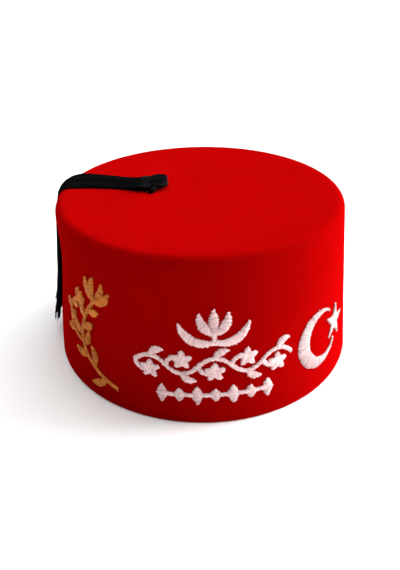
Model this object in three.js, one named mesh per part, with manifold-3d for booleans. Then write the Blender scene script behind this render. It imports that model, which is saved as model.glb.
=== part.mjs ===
// A fez: an oval, hollow, flat-topped felt crown with a black silk tassel laid over its left side
// and raised thread embroidery round its front. Millimetres, +Z up, the front towards -Y.
// The origin is the middle of the rim's oval, on the surface that the rim rests on.
import * as THREE from "three";
import Module from "manifold-3d";

const wasm = await Module();
wasm.setup();

// Crown
const rimHalfWidth = 90.5;
const rimHalfLength = 99.5;
const crownHeight = 93.5;
const wallDraft = 6; // how much each half side narrows from the rim to the shoulder
const shoulderRadius = 5;
const feltThickness = 2.5;
const rimChamfer = 0.4;

// Tassel
const fitClearance = 0.3; // between any two pieces that lie on each other
const neckFromMiddle = 31; // from the crown's middle to the tassel's neck, towards -X
const neckOffset = 11.3; // from the crown's middle to the tassel's neck, towards +Y
const edgeOffset = 29; // how far towards +Y the strands lie where they leave the top
const hangOffset = 20; // and at their tips
const neckHalfWidth = 9.2;
const neckHalfDepth = 1.2;
const headLength = 13.5;
const headHalfWidth = 11;
const headHalfDepth = 2.9;
const sideLoopReach = 14; // from the head's middle line to the small side loop's end
const strandHalfWidth = 13.5;
const strandHalfDepth = 1.5;
const tipHeight = 9; // of the longest lock above the rim's plane
const lockCount = 7;

// Binding round the neck
const bindingLength = 4.4;
const bindingThickness = 0.8;
const bindingGroove = 0.2;
const bindingTurns = 3;

// Embroidery
const threadPile = 0.8; // how far a line of stitches stands off its own underside
const threadEdge = 0.45; // the same at the line's two edges
const stemHalfWidth = 1;
const leafHalfWidth = 2.4;
const stitchStep = 4; // longest straight run along a curved line of stitches
const crescentRadius = 17;

// Finenesses of the rounded forms
const crownSides = 80;
const shoulderSteps = 6;
const lockSides = 6;
const lockTurns = 4;
const bindingSides = 18;
const turnSteps = 144; // along a quarter of the girth, to find where a length round it ends

// Values that follow from the sizes above
const wallHeight = crownHeight - shoulderRadius;
const topHalfWidth = rimHalfWidth - wallDraft;
const topHalfLength = rimHalfLength - wallDraft;
const quarterTurn = Math.PI / 2;

// Half width and half length of the crown's outside at a height on its wall.
function wallHalfSides(z) {
  const inset = (wallDraft * z) / wallHeight;
  return { width: rimHalfWidth - inset, length: rimHalfLength - inset };
}

// The point of an oval at a turn from the front, positive towards +X.
function ovalPoint(halfWidth, halfLength, turn, z) {
  return new THREE.Vector3(halfWidth * Math.sin(turn), -halfLength * Math.cos(turn), z);
}

// Outward direction of the tapered wall at a turn from the front.
function wallNormal(turn, z) {
  const { width, length } = wallHalfSides(z);
  const slope = wallDraft / wallHeight;
  const rise = slope * (Math.sin(turn) ** 2 / width + Math.cos(turn) ** 2 / length);
  return new THREE.Vector3(Math.sin(turn) / width, -Math.cos(turn) / length, rise).normalize();
}

// A closed surface through rings of as many points each, capped at both ends or joined end to end.
function skin(rings, joined = false) {
  const count = rings[0].length;
  const positions = rings.flat().flatMap((point) => point.toArray());
  const index = [];
  const bands = joined ? rings.length : rings.length - 1;
  for (let k = 0; k < bands; k += 1) {
    const here = k * count;
    const next = ((k + 1) % rings.length) * count;
    for (let j = 0; j < count; j += 1) {
      const side = (j + 1) % count;
      index.push(here + j, here + side, next + side);
      index.push(here + j, next + side, next + j);
    }
  }
  if (!joined) {
    const last = (rings.length - 1) * count;
    const firstMiddle = positions.length / 3;
    positions.push(...middleOf(rings[0]).toArray(), ...middleOf(rings.at(-1)).toArray());
    for (let j = 0; j < count; j += 1) {
      const side = (j + 1) % count;
      index.push(firstMiddle, side, j);
      index.push(firstMiddle + 1, last + j, last + side);
    }
  }
  const geometry = new THREE.BufferGeometry();
  geometry.setAttribute("position", new THREE.Float32BufferAttribute(positions, 3));
  geometry.setIndex(index);
  geometry.computeVertexNormals();
  return geometry;
}

function middleOf(points) {
  const sum = points.reduce((total, point) => total.add(point), new THREE.Vector3());
  return sum.divideScalar(points.length);
}

// Several overlapping closed surfaces joined into one.
function fuse(geometries) {
  const solids = geometries.map(
    (geometry) =>
      new wasm.Manifold(
        new wasm.Mesh({
          numProp: 3,
          vertProperties: new Float32Array(geometry.getAttribute("position").array),
          triVerts: new Uint32Array(geometry.getIndex().array),
        }),
      ),
  );
  const joined = solids.reduce((total, solid) => total.add(solid)).getMesh();
  const geometry = new THREE.BufferGeometry();
  geometry.setAttribute("position", new THREE.Float32BufferAttribute(joined.vertProperties, 3));
  geometry.setIndex(Array.from(joined.triVerts));
  geometry.computeVertexNormals();
  return geometry;
}

function piece(name, geometry, look) {
  const mesh = new THREE.Mesh(geometry, new THREE.MeshStandardMaterial(look));
  mesh.name = name;
  return mesh;
}

// Crown: one felt shell, its outside taken from the top's middle down to the rim, then its inside up.
function crownRing(halfWidth, halfLength, z) {
  return Array.from({ length: crownSides }, (_, j) =>
    ovalPoint(halfWidth, halfLength, (-2 * Math.PI * j) / crownSides, z),
  );
}

function shoulderRings(radius, inset, top) {
  const rings = [];
  for (let k = 0; k <= shoulderSteps; k += 1) {
    const angle = quarterTurn * (1 - k / shoulderSteps);
    const reach = radius * Math.cos(angle) - radius - inset;
    rings.push(crownRing(topHalfWidth + reach, topHalfLength + reach, top - radius * (1 - Math.sin(angle))));
  }
  return rings;
}

function crownGeometry() {
  const innerRadius = shoulderRadius - feltThickness;
  const chamferTop = wallHalfSides(rimChamfer);
  const rimOuter = rimChamfer;
  const rimInner = feltThickness - rimChamfer;
  const rings = [
    ...shoulderRings(shoulderRadius, 0, crownHeight),
    crownRing(chamferTop.width, chamferTop.length, rimChamfer),
    crownRing(rimHalfWidth - rimOuter, rimHalfLength - rimOuter, 0),
    crownRing(rimHalfWidth - rimInner, rimHalfLength - rimInner, 0),
    crownRing(chamferTop.width - feltThickness, chamferTop.length - feltThickness, rimChamfer),
    ...shoulderRings(innerRadius, feltThickness, crownHeight - feltThickness).reverse(),
  ];
  return skin(rings);
}

// Tassel: locks side by side, bunched at the neck, fanned to a looped head on one side of it and to
// the strands on the other, which run over the shoulder and hang down the wall.
// along is the share of the way from the neck to the head's end or to the top's edge or down to the
// tips; spread and depth are shares of that stretch's half width and half depth.
const headSections = [
  { along: 1.0, spread: 0.5, depth: 0.35 },
  { along: 0.94, spread: 0.72, depth: 0.7 },
  { along: 0.75, spread: 0.92, depth: 1.0 },
  { along: 0.45, spread: 1.0, depth: 1.0 },
];
const topSections = [
  { along: 0.2, spread: 0.77, depth: 1.05 },
  { along: 0.4, spread: 0.82, depth: 1.0 },
  { along: 0.7, spread: 0.93, depth: 1.0 },
  { along: 0.95, spread: 1.0, depth: 1.0 },
];
const hangSections = [
  { along: 0.22, spread: 1.02, depth: 1.0 },
  { along: 0.6, spread: 1.12, depth: 1.1 },
  { along: 0.9, spread: 1.2, depth: 1.3 },
  { along: 1.0, spread: 1.25, depth: 0.6 },
];
const lockShare = 0.21; // half width of a lock as a share of the bundle's half width
const tipSpread = 0.08; // how much shorter the shortest lock hangs than the longest, as a share
const tipRhythm = 2.4; // radians between neighbouring locks in the wave that their tips follow
const neckLift = 2 * fitClearance + bindingThickness + neckHalfDepth;

// The half of the neck that the binding covers, with a margin of its own thickness.
const neckHalfLength = bindingLength / 2 + bindingThickness;

function lockOffset(side, halfWidth) {
  return side * halfWidth * (1 - lockShare);
}

// The outer locks of a bundle are shallower than its middle ones, so that it has a round back.
const bundleRoundness = 0.6;

function lockDepth(side, halfDepth) {
  return halfDepth * Math.sqrt(1 - bundleRoundness * side ** 2);
}

// Where the top's flat ends at a distance towards +Y, on the tassel's side.
function topEdgeAt(y) {
  const halfWidth = topHalfWidth - shoulderRadius;
  const halfLength = topHalfLength - shoulderRadius;
  return -halfWidth * Math.sqrt(1 - (y / halfLength) ** 2);
}

// The turn of the wall's point that lies at a distance towards +Y, on the tassel's side.
function turnAcross(y, z) {
  return -Math.PI + Math.acos(y / wallHalfSides(z).length);
}

// One lock's stations from the head's end to the tip: the point of the crown below it, the outward
// direction there, and the lock's lift off the crown, half width and half depth.
function lockStations(side, tipShare) {
  const up = new THREE.Vector3(0, 0, 1);
  const stations = [];
  const onTop = (x, y, lift, width, depth) =>
    stations.push({ base: new THREE.Vector3(x, y, crownHeight), out: up, lift, width, depth });
  for (const row of headSections) {
    const width = headHalfWidth * row.spread;
    const depth = lockDepth(side, headHalfDepth * row.depth);
    const x = -neckFromMiddle + neckHalfLength + (headLength - neckHalfLength) * row.along;
    onTop(x, neckOffset + lockOffset(side, width), fitClearance + headHalfDepth, width, depth);
  }
  for (const end of [1, 0, -1]) {
    const x = -neckFromMiddle + end * neckHalfLength;
    const depth = lockDepth(side, neckHalfDepth);
    onTop(x, neckOffset + lockOffset(side, neckHalfWidth), neckLift, neckHalfWidth, depth);
  }
  for (const row of topSections) {
    const width = strandHalfWidth * row.spread;
    const depth = lockDepth(side, strandHalfDepth * row.depth);
    const y = THREE.MathUtils.lerp(neckOffset, edgeOffset, row.along) + lockOffset(side, width);
    const start = -neckFromMiddle - neckHalfLength;
    onTop(THREE.MathUtils.lerp(start, topEdgeAt(y), row.along), y, fitClearance + depth, width, depth);
  }
  const edgeY = edgeOffset + lockOffset(side, strandHalfWidth);
  const edgeTurn = turnAcross(edgeY, wallHeight);
  for (let k = 1; k <= lockTurns; k += 1) {
    const angle = quarterTurn * (1 - k / lockTurns);
    const reach = shoulderRadius * (Math.cos(angle) - 1);
    const z = wallHeight + shoulderRadius * Math.sin(angle);
    const flat = wallNormal(edgeTurn, wallHeight).setZ(0).normalize();
    const out = flat.multiplyScalar(Math.cos(angle)).setZ(Math.sin(angle));
    const base = ovalPoint(topHalfWidth + reach, topHalfLength + reach, edgeTurn, z);
    const depth = lockDepth(side, strandHalfDepth);
    stations.push({ base, out, lift: fitClearance + depth, width: strandHalfWidth, depth });
  }
  const drop = (wallHeight - tipHeight) * tipShare;
  for (const row of hangSections) {
    const width = strandHalfWidth * row.spread;
    const depth = lockDepth(side, strandHalfDepth * row.depth);
    const z = wallHeight - drop * row.along;
    const y = THREE.MathUtils.lerp(edgeOffset, hangOffset, row.along) + lockOffset(side, width);
    const turn = turnAcross(y, z);
    const { width: halfX, length: halfY } = wallHalfSides(z);
    const out = wallNormal(turn, z);
    stations.push({ base: ovalPoint(halfX, halfY, turn, z), out, lift: fitClearance + depth, width, depth });
  }
  return stations;
}

// A rounded lock through its stations.
function lockGeometry(stations) {
  const middles = stations.map(({ base, out, lift }) => base.clone().addScaledVector(out, lift));
  const rings = stations.map(({ out, width, depth }, k) => {
    const before = middles[Math.max(k - 1, 0)];
    const after = middles[Math.min(k + 1, middles.length - 1)];
    const along = after.clone().sub(before).normalize();
    const across = new THREE.Vector3().crossVectors(along, out).normalize();
    return Array.from({ length: lockSides }, (_, j) => {
      const angle = (2 * Math.PI * j) / lockSides;
      return middles[k]
        .clone()
        .addScaledVector(across, width * lockShare * Math.cos(angle))
        .addScaledVector(out, -depth * Math.sin(angle));
    });
  });
  return skin(rings);
}

// The short loop that stands out of the head, towards -Y, and bends back past the binding's end.
// aside and back are shares of its reach towards -Y and -X, size a share of the head's half depth.
const sideLoopRoot = 0.5; // how far along the head it starts, as a share of the head's length
const sideLoopSections = [
  { aside: 0.35, back: 0.03, size: 0.65 },
  { aside: 0.65, back: 0.1, size: 0.65 },
  { aside: 0.9, back: 0.24, size: 0.62 },
  { aside: 1.0, back: 0.38, size: 0.35 },
];

function sideLoopGeometry() {
  const start = new THREE.Vector3(-neckFromMiddle + headLength * sideLoopRoot, neckOffset, crownHeight);
  const out = new THREE.Vector3(0, 0, 1);
  const stations = sideLoopSections.map((row) => {
    const depth = headHalfDepth * row.size;
    const way = new THREE.Vector3(-row.back, -row.aside, 0);
    const base = start.clone().addScaledVector(way, sideLoopReach);
    return { base, out, lift: fitClearance + depth, width: depth / lockShare, depth };
  });
  return lockGeometry(stations);
}

function tasselGeometry() {
  const locks = [];
  for (let k = 0; k < lockCount; k += 1) {
    const side = (2 * k) / (lockCount - 1) - 1;
    const tipShare = 1 - tipSpread * Math.sin(tipRhythm * k) ** 2;
    locks.push(lockGeometry(lockStations(side, tipShare)));
  }
  return fuse([...locks, sideLoopGeometry()]);
}

// Binding: thread wound round the neck, a ring with a groove between each two turns.
function bindingGeometry() {
  const middle = new THREE.Vector3(-neckFromMiddle, neckOffset, crownHeight + neckLift);
  const inner = fitClearance;
  const outer = fitClearance + bindingThickness;
  const profile = [];
  for (let k = 0; k <= 2 * bindingTurns; k += 1) {
    const along = (k / (2 * bindingTurns) - 0.5) * bindingLength;
    const groove = k % 2 === 0 ? bindingGroove : 0;
    profile.push({ along, off: outer - groove });
  }
  profile.push({ along: bindingLength / 2, off: inner });
  profile.push({ along: -bindingLength / 2, off: inner });
  const rings = Array.from({ length: bindingSides }, (_, j) => {
    const angle = (2 * Math.PI * j) / bindingSides;
    return profile.map(({ along, off }) => {
      const across = (neckHalfWidth + off) * Math.cos(angle);
      const up = -(neckHalfDepth + off) * Math.sin(angle);
      return middle.clone().add(new THREE.Vector3(along, across, up));
    });
  });
  return skin(rings, true);
}

// The turn from the front that lies a length along the oval round the wall's middle height.
function turnAtLength(length) {
  const half = wallHalfSides(wallHeight / 2);
  const steps = Math.max(1, Math.ceil((turnSteps * Math.abs(length)) / quarterGirth));
  let turn = 0;
  for (let k = 0; k < steps; k += 1) {
    turn += length / steps / Math.hypot(half.width * Math.cos(turn), half.length * Math.sin(turn));
  }
  return turn;
}

// A point on the wall from its length round from the front and its height, lifted off the felt.
function onWall({ x, y }, lift) {
  const turn = turnAtLength(x);
  const { width, length } = wallHalfSides(y);
  return ovalPoint(width, length, turn, y).addScaledVector(wallNormal(turn, y), lift);
}

// A line of stitches between two edges on the wall, highest along its middle.
function stitchBand(edges) {
  const rings = edges.map(({ left, right }) => {
    const middle = left.clone().add(right).multiplyScalar(0.5);
    const shoulderLeft = left.clone().lerp(middle, 0.25);
    const shoulderRight = right.clone().lerp(middle, 0.25);
    return [
      onWall(right, fitClearance),
      onWall(left, fitClearance),
      onWall(shoulderLeft, fitClearance + threadEdge),
      onWall(middle, fitClearance + threadPile),
      onWall(shoulderRight, fitClearance + threadEdge),
    ];
  });
  return skin(rings);
}

// A curved line of stitches: a start, an end, the share of its length by which it bows to its left,
// and its half width at the start, middle and end.
function stroke(start, end, bow, widths) {
  const chord = end.clone().sub(start);
  const side = new THREE.Vector2(-chord.y, chord.x);
  const control = start.clone().add(end).multiplyScalar(0.5).addScaledVector(side, 2 * bow);
  const curve = new THREE.QuadraticBezierCurve(start, control, end);
  return strokeAlong(curve, widths);
}

const leastHalfWidth = 0.3;

function strokeAlong(curve, [first, middle, last]) {
  const steps = Math.max(2, 2 * Math.ceil(curve.getLength() / stitchStep / 2));
  const edges = [];
  for (let k = 0; k <= steps; k += 1) {
    const share = k / steps;
    const blend = Math.sin(Math.PI * share);
    const ends = THREE.MathUtils.lerp(first, last, share);
    const width = Math.max(leastHalfWidth, THREE.MathUtils.lerp(ends, middle, blend));
    const point = curve.getPoint(share);
    const along = curve.getTangent(share);
    const side = new THREE.Vector2(-along.y, along.x).multiplyScalar(width);
    edges.push({ left: point.clone().add(side), right: point.clone().sub(side) });
  }
  return stitchBand(edges);
}

const stemWidths = [stemHalfWidth, stemHalfWidth, stemHalfWidth];

function pointing(direction, length) {
  return new THREE.Vector2(Math.cos(direction), Math.sin(direction)).multiplyScalar(length);
}

// A leaf from a point on a stem, with its direction, length and bow.
function leaf(root, direction, length, bow, fullness = 1) {
  const end = root.clone().add(pointing(direction, length));
  return stroke(root, end, bow, [stemHalfWidth / 2, leafHalfWidth * fullness, leastHalfWidth]);
}

// Leaves on both sides of a stem by turns, from one share of it to another.
function leaves(curve, count, from, to, length, opening) {
  const made = [];
  for (let k = 0; k < count; k += 1) {
    const share = THREE.MathUtils.lerp(from, to, k / (count - 1));
    const along = curve.getTangent(share);
    const side = k % 2 === 0 ? 1 : -1;
    const direction = Math.atan2(along.y, along.x) + side * opening;
    const taper = 1 - 0.35 * (k / (count - 1));
    made.push(leaf(curve.getPoint(share), direction, length * taper, 0.12 * side));
  }
  return made;
}

// Where the ornaments lie. across and halfAcross are shares of a quarter of the girth at the wall's
// middle height, up and halfUp are shares of the wall's height.
const places = {
  goldSpray: { across: -0.53, up: 0.465, halfAcross: 0.165, halfUp: 0.35 },
  whiteTulip: { across: -0.035, up: 0.645, halfAcross: 0.125, halfUp: 0.11 },
  whiteVine: { across: -0.035, up: 0.395, halfAcross: 0.29, halfUp: 0.1 },
  whiteLozenges: { across: -0.035, up: 0.2, halfAcross: 0.19, halfUp: 0.058 },
  crescent: { across: 0.41, up: 0.36 },
};

const middleSides = wallHalfSides(wallHeight / 2);
const quarterGirth = quarterTurn * Math.hypot(middleSides.width, middleSides.length) * Math.SQRT1_2;

// A point of an ornament, from shares of its place's half sizes.
function at(place, x, y) {
  return new THREE.Vector2(
    quarterGirth * (place.across + x * place.halfAcross),
    wallHeight * (place.up + y * place.halfUp),
  );
}

// Petals spread like a fan from one point, the outer ones bowed outwards.
function fan(root, count, { towards, spread, length, bow }) {
  return Array.from({ length: count }, (_, k) => {
    const turn = spread * (k / (count - 1) - 0.5);
    return leaf(root, towards + turn, length, bow * Math.sign(turn));
  });
}

function goldSprayGeometry() {
  const place = places.goldSpray;
  const size = wallHeight * place.halfUp;
  const stem = new THREE.CubicBezierCurve(
    at(place, 0.75, -0.95),
    at(place, -0.9, -0.6),
    at(place, -0.45, 0.1),
    at(place, 0.1, 0.6),
  );
  const branch = new THREE.CubicBezierCurve(
    stem.getPoint(0.45),
    at(place, -0.95, -0.35),
    at(place, -1.2, 0.3),
    at(place, -0.55, 0.45),
  );
  const petals = fan(stem.getPoint(1), 4, { towards: 1.3, spread: 1.5, length: size * 0.44, bow: 0.15 });
  const buds = fan(branch.getPoint(1), 3, { towards: 0.9, spread: 1, length: size * 0.24, bow: 0.1 });
  return fuse([
    strokeAlong(stem, stemWidths),
    strokeAlong(branch, stemWidths),
    ...leaves(stem, 8, 0.08, 0.86, size * 0.42, 0.85),
    ...leaves(branch, 4, 0.3, 0.85, size * 0.26, 0.9),
    ...petals,
    ...buds,
  ]);
}

function whiteTulipGeometry() {
  const place = places.whiteTulip;
  const size = wallHeight * place.halfUp;
  const base = at(place, 0, -0.45);
  const petals = fan(base, 3, { towards: quarterTurn, spread: 1.1, length: size * 1.45, bow: 0.16 });
  const stem = stroke(at(place, 0, -1), base, 0, stemWidths);
  const sideWidths = [stemHalfWidth, leafHalfWidth, leastHalfWidth];
  const sideLeaves = [-1, 1].map((side) =>
    stroke(at(place, 0, -0.9), at(place, side, 0.2), -0.22 * side, sideWidths),
  );
  return fuse([stem, ...petals, ...sideLeaves]);
}

// A flower with its petals all round a middle, highest at the middle. reach is a share of its radius.
const rosetteRings = [
  { reach: 1.0, lift: fitClearance },
  { reach: 1.0, lift: fitClearance + threadEdge },
  { reach: 0.35, lift: fitClearance + threadPile },
];

function rosette(middle, radius) {
  const petals = 5;
  const points = 4 * petals;
  const rings = rosetteRings.map(({ reach, lift }) =>
    Array.from({ length: points }, (_, k) => {
      const angle = quarterTurn + (2 * Math.PI * k) / points;
      const notch = 0.78 + 0.22 * Math.cos(petals * (angle - quarterTurn));
      return onWall(middle.clone().add(pointing(angle, radius * reach * notch)), lift);
    }),
  );
  return skin(rings);
}

function whiteVineGeometry() {
  const place = places.whiteVine;
  const waves = 5;
  const size = wallHeight * place.halfUp;
  const parts = [];
  for (let k = 0; k < waves; k += 1) {
    const side = k % 2 === 0 ? 1 : -1;
    const start = at(place, (2 * k) / waves - 1, 0);
    const end = at(place, (2 * (k + 1)) / waves - 1, 0);
    const middle = start.clone().lerp(end, 0.5);
    const crest = middle.clone().setY(middle.y + size * 0.5 * side);
    const bow = (crest.y - middle.y) / (end.x - start.x);
    const flower = middle.clone().setY(middle.y - size * 0.4 * side);
    parts.push(stroke(start, end, bow, stemWidths));
    parts.push(stroke(start, flower, -0.3 * side, stemWidths));
    parts.push(rosette(flower, size * 0.62));
    parts.push(leaf(crest, 0.5 * side, size * 0.95, 0.2 * side, 0.8));
  }
  return fuse(parts);
}

function whiteLozengesGeometry() {
  const place = places.whiteLozenges;
  const count = 7;
  const half = wallHeight * place.halfUp;
  const parts = [stroke(at(place, -1, 0), at(place, 1, 0), 0, stemWidths)];
  for (let k = 0; k < count; k += 1) {
    const middle = at(place, (2 * k) / (count - 1) - 1, 0);
    const size = half * (1 - 0.3 * (k % 2));
    const foot = middle.clone().setY(middle.y - size);
    const head = middle.clone().setY(middle.y + size);
    parts.push(stroke(foot, head, 0, [leastHalfWidth, leafHalfWidth * 1.15, leastHalfWidth]));
  }
  return fuse(parts);
}

// Crescent: between an outer circle and an inner one set towards the opening.
const crescentInner = 0.782; // inner radius as a share of the outer
const crescentShift = 0.282; // and the inner middle's shift
const crescentOpening = 0.21; // direction of the opening, radians above +X round the wall
const crescentHorn = 0.6; // half of the opening, seen from the outer middle

function crescentMiddle() {
  const { across, up } = places.crescent;
  return new THREE.Vector2(quarterGirth * across, wallHeight * up);
}

function crescentGeometry() {
  const middle = crescentMiddle();
  const inner = crescentRadius * crescentInner;
  const shift = crescentRadius * crescentShift;
  const turn = 2 * Math.PI - 2 * crescentHorn;
  const steps = 2 * Math.ceil((turn * crescentRadius) / stitchStep / 2);
  const edges = [];
  for (let k = 0; k <= steps; k += 1) {
    const angle = crescentHorn + (turn * k) / steps;
    const reach = shift * Math.cos(angle) + Math.sqrt(inner ** 2 - (shift * Math.sin(angle)) ** 2);
    const ray = pointing(angle + crescentOpening, 1);
    const inside = Math.min(reach, crescentRadius - 2 * leastHalfWidth);
    edges.push({
      left: middle.clone().addScaledVector(ray, inside),
      right: middle.clone().addScaledVector(ray, crescentRadius),
    });
  }
  return stitchBand(edges);
}

// Star: five points round a middle placed from the crescent's.
const starRadius = 0.6 * crescentRadius;
const starWaist = 0.36; // half width of a point at the star's middle, as a share of its radius
const starTilt = 1.4; // direction of the first point, radians above +X round the wall
const starAcross = 1.06; // from the crescent's middle, as a share of the crescent's radius
const starUp = 0.15; // and upwards
const starPoints = 5;
const starSteps = 4;

function starGeometry() {
  const offset = new THREE.Vector2(starAcross, starUp).multiplyScalar(crescentRadius);
  const middle = crescentMiddle().add(offset);
  const points = [];
  for (let k = 0; k < starPoints; k += 1) {
    const angle = starTilt + (2 * Math.PI * k) / starPoints;
    const edges = [];
    for (let j = 0; j <= starSteps; j += 1) {
      const share = j / starSteps;
      const point = middle.clone().add(pointing(angle, starRadius * share));
      const width = Math.max(leastHalfWidth, starRadius * starWaist * (1 - share));
      const side = pointing(angle + quarterTurn, width);
      edges.push({ left: point.clone().add(side), right: point.clone().sub(side) });
    }
    points.push(stitchBand(edges));
  }
  return fuse(points);
}

const felt = { color: 0xc80404, roughness: 0.95, metalness: 0 };
const silk = { color: 0x16181c, roughness: 0.6, metalness: 0 };
const goldThread = { color: 0xb8822e, roughness: 0.45, metalness: 0.2 };
const whiteThread = { color: 0xe6d6d6, roughness: 0.55, metalness: 0 };

const fez = new THREE.Group();
fez.add(
  piece("crown", crownGeometry(), felt),
  piece("tassel", tasselGeometry(), silk),
  piece("tassel_binding", bindingGeometry(), silk),
  piece("gold_spray", goldSprayGeometry(), goldThread),
  piece("white_tulip", whiteTulipGeometry(), whiteThread),
  piece("white_vine", whiteVineGeometry(), whiteThread),
  piece("white_lozenges", whiteLozengesGeometry(), whiteThread),
  piece("crescent", crescentGeometry(), whiteThread),
  piece("star", starGeometry(), whiteThread),
);

export default fez;
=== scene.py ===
"""Looks of an oval felt fez: velvety crown, black silk tassel, stitched thread embroidery.

Lengths below are millimetres unless a name says otherwise; meshes are written in metres.
The front is towards -Y. Turns round the crown are measured from the front, positive towards +X.
"""
import math

import bpy
import numpy as np
from mathutils import Matrix, Vector


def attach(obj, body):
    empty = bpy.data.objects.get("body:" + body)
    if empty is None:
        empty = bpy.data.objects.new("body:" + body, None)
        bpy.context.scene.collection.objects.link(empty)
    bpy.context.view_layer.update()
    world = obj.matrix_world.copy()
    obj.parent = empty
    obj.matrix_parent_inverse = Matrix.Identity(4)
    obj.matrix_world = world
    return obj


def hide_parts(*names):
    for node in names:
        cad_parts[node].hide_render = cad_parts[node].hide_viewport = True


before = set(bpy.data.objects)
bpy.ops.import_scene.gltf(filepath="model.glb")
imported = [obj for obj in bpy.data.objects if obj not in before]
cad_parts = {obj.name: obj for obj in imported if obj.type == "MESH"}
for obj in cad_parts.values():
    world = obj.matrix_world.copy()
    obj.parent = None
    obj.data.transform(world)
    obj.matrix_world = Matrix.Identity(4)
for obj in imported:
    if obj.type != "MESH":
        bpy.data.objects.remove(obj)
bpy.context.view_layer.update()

MM = 0.001
RNG = np.random.default_rng(7)

# Crown
RIM = np.array([90.5, 99.5])
HEIGHT = 93.5
DRAFT = 6.0
SHOULDER = 5.0
FELT = 2.5
WALL = HEIGHT - SHOULDER
TOP = RIM - DRAFT
CLEAR = 0.3

# Camera, fitted to the photograph's silhouette
IMAGE_HEIGHT_PX = 570
FOCAL_PX = 635.7
CAMERA_DISTANCE = 400.0
CAMERA_ELEVATION = 26.27
CAMERA_AZIMUTH = -6.39
CAMERA_YAW = -0.14
CAMERA_PITCH = 2.23
CAMERA_ROLL = -1.6
SENSOR = 36.0


# Mesh building

GROUND_TONE = 0.3  # shade of what isn't a strand or stitch of its own
THREAD_SIDES = 5
SPARE_DIRECTION = [0.31, 0.52, 0.79]  # where a thread runs along its reference direction


class Soup:
    """Vertices and faces gathered from many small surfaces, in millimetres."""

    def __init__(self):
        self.verts = []
        self.faces = []
        self.uvs = []
        self.count = 0

    def grid(self, rings, uv=None):
        """Add a closed, capped surface through rings: an array rings x points x 3."""
        rows, cols = rings.shape[:2]
        start = self.count
        self.verts.append(rings.reshape(-1, 3))
        self.count += rows * cols
        if uv is None:
            along = np.broadcast_to(np.arange(rows)[:, None] / rows, (rows, cols))
            uv = np.stack([np.full((rows, cols), GROUND_TONE), along], axis=-1)
        self.uvs.append(uv.reshape(-1, 2))
        r = np.arange(rows - 1)[:, None]
        c = np.arange(cols)[None, :]
        here = start + r * cols
        side = (c + 1) % cols
        quads = np.stack([here + c, here + side, here + cols + side, here + cols + c], axis=-1)
        self.faces.extend(map(tuple, quads.reshape(-1, 4).tolist()))
        last = start + (rows - 1) * cols
        self.faces.append(tuple(range(start + cols - 1, start - 1, -1)))
        self.faces.append(tuple(range(last, last + cols)))

    def object(self, name, material):
        mesh = bpy.data.meshes.new(name)
        verts = np.concatenate(self.verts) * MM
        mesh.from_pydata(verts.tolist(), [], self.faces)
        loops = np.empty(len(mesh.loops), dtype=np.int32)
        mesh.loops.foreach_get("vertex_index", loops)
        layer = mesh.uv_layers.new(name="UVMap")
        layer.data.foreach_set("uv", np.concatenate(self.uvs)[loops].astype(np.float32).ravel())
        mesh.polygons.foreach_set("use_smooth", [True] * len(mesh.polygons))
        mesh.materials.append(material)
        mesh.validate()
        mesh.update()
        made = bpy.data.objects.new(name, mesh)
        bpy.context.scene.collection.objects.link(made)
        return made


def unit(v):
    return v / np.maximum(np.linalg.norm(v, axis=-1, keepdims=True), 1e-9)


def tube(soup, points, radius, tone, sides=THREAD_SIDES, out=None, taper=None):
    """Add a thread through points; tone is its shade, taper each point's share of the radius."""
    points = np.asarray(points, float)
    count = len(points)
    along = unit(np.gradient(points, axis=0))
    reference = np.array([0.0, 0.0, 1.0]) if out is None else np.asarray(out, float)
    across = np.cross(along, reference)
    short = np.linalg.norm(across, axis=1) < 1e-3
    across[short] = np.cross(along[short], SPARE_DIRECTION)
    across = unit(across)
    up = np.cross(across, along)
    share = np.ones(count) if taper is None else np.asarray(taper, float)
    angle = np.arange(sides) * 2 * np.pi / sides
    cosine, sine = np.cos(angle)[None, :, None], np.sin(angle)[None, :, None]
    offset = across[:, None] * cosine + up[:, None] * sine
    rings = points[:, None] + offset * (radius * share)[:, None, None]
    length = np.concatenate([[0], np.cumsum(np.linalg.norm(np.diff(points, axis=0), axis=1))])
    along_it = np.broadcast_to(length[:, None], (count, sides))
    uv = np.stack([np.full((count, sides), tone), along_it], axis=-1)
    soup.grid(rings, uv=uv)


# Crown surface

def half_sides(z):
    """Half width and half length of the wall's outside at a height."""
    return RIM - DRAFT * np.asarray(z, float)[..., None] / WALL


TURN_STEPS = 2001
TURNS = np.linspace(-np.pi, np.pi, TURN_STEPS)
MIDDLE_SIDES = half_sides(WALL / 2)
SPEEDS = np.hypot(MIDDLE_SIDES[0] * np.cos(TURNS), MIDDLE_SIDES[1] * np.sin(TURNS))
LENGTHS = np.concatenate([[0], np.cumsum((SPEEDS[1:] + SPEEDS[:-1]) / 2 * np.diff(TURNS))])
LENGTHS -= np.interp(0, TURNS, LENGTHS)
QUARTER_GIRTH = math.pi / 2 * math.hypot(*MIDDLE_SIDES) / math.sqrt(2)


def wall_normal(turn, z):
    sides = half_sides(z)
    slope = DRAFT / WALL
    rise = slope * (np.sin(turn) ** 2 / sides[..., 0] + np.cos(turn) ** 2 / sides[..., 1])
    return unit(np.stack([np.sin(turn) / sides[..., 0], -np.cos(turn) / sides[..., 1], rise], axis=-1))


def on_wall(flat, lift):
    """Points on the wall from (length round from the front, height) and a lift off the felt."""
    flat = np.asarray(flat, float)
    turn = np.interp(flat[..., 0], LENGTHS, TURNS)
    return wall_point(turn, flat[..., 1], np.asarray(lift, float))


# The felt is pressed in a little on the left, in front of the tassel.
HOLLOW_DEPTH = 2.0
HOLLOW_TURN = -1.466
HOLLOW_REACH = 0.55  # radians to either side
HOLLOW_FROM, HOLLOW_TO = 8.0, 86.0
HOLLOW_LEAN = 1.8  # over 1, the deepest place lies above the middle


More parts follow.
